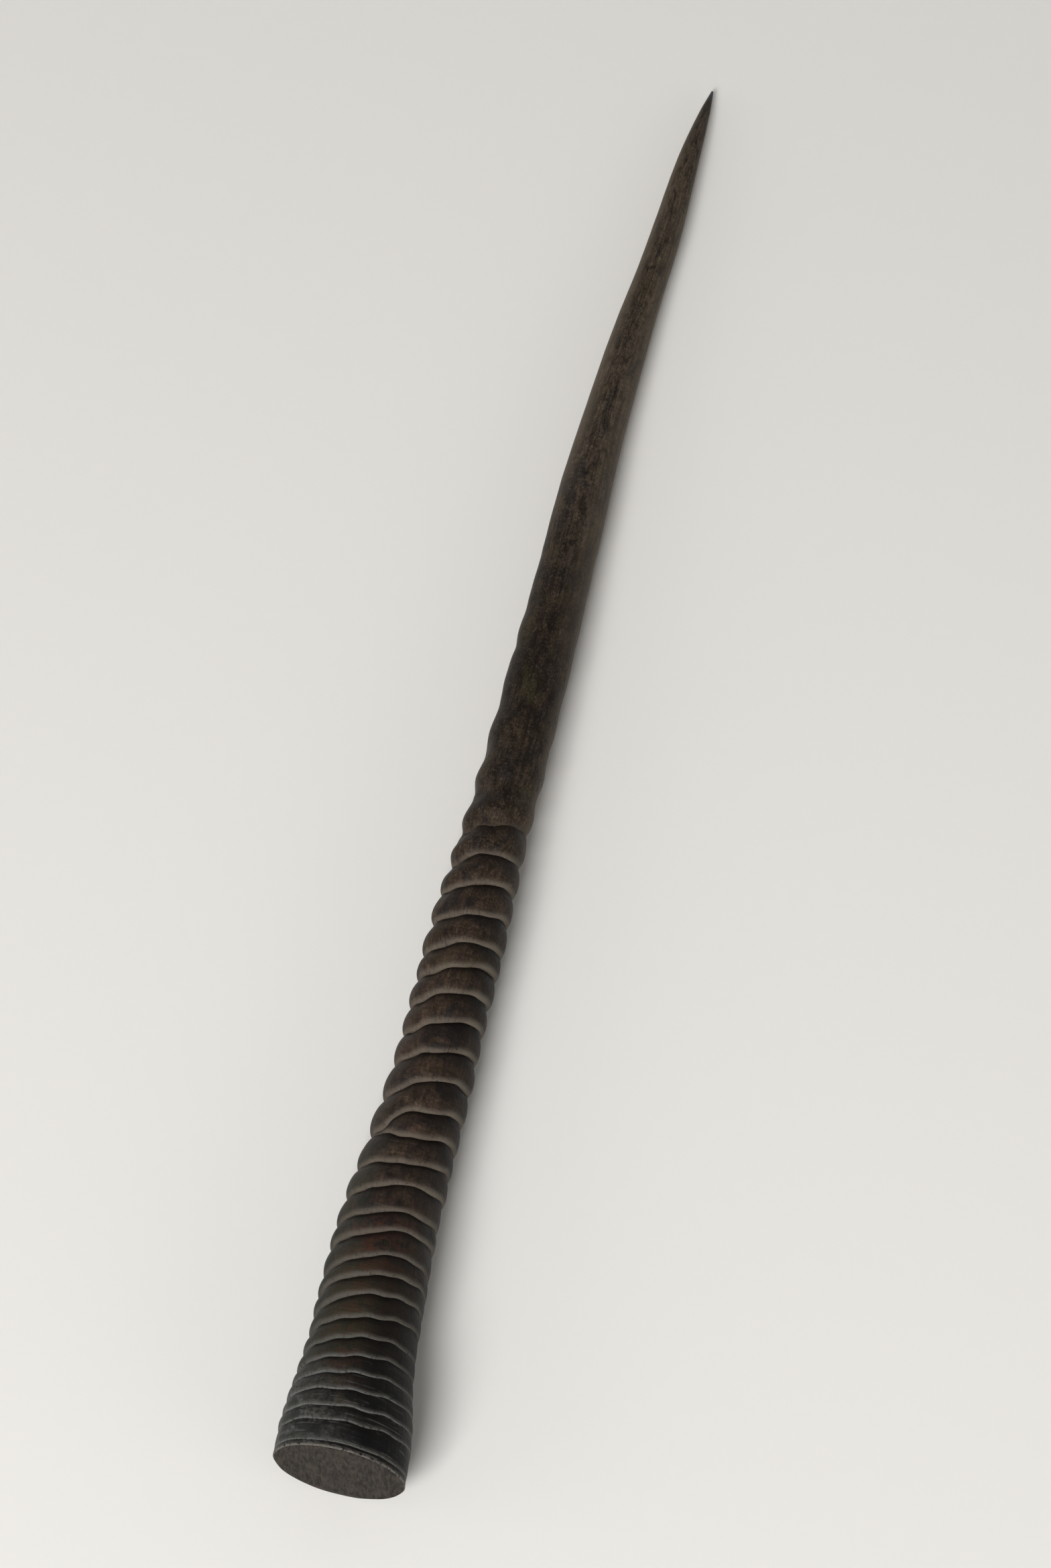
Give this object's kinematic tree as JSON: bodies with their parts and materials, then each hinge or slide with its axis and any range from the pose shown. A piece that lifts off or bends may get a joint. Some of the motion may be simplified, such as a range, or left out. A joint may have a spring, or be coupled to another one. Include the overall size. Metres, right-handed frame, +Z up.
{
  "type": "gemsbok horn",
  "caption": "Long, nearly straight antelope horn with a ringed lower half and a smooth, sharp upper half, sawn off flat at the base and lying on its side for display.",
  "frame": {"origin": "middle of the underside of the bounding box, on the surface that the horn lies on", "axes": "+Y along the horn from the sawn base to the tip, +Z up, from the side that lies on the surface to the side that faced forward on the head, +X to the outer side, away from where the other horn of the pair grew"},
  "size_m": [0.0602, 0.7606, 0.0558],
  "materials": {
    "horn_keratin": "weathered horn keratin, dark grey-brown to near black, dull with a slight sheen toward the tip, fine fibres along its length, dusty lighter lines under the rings and grey scuffs at the base"
  },
  "bodies": {
    "root": {"horn": "horn_keratin"}
  },
  "joints": []
}
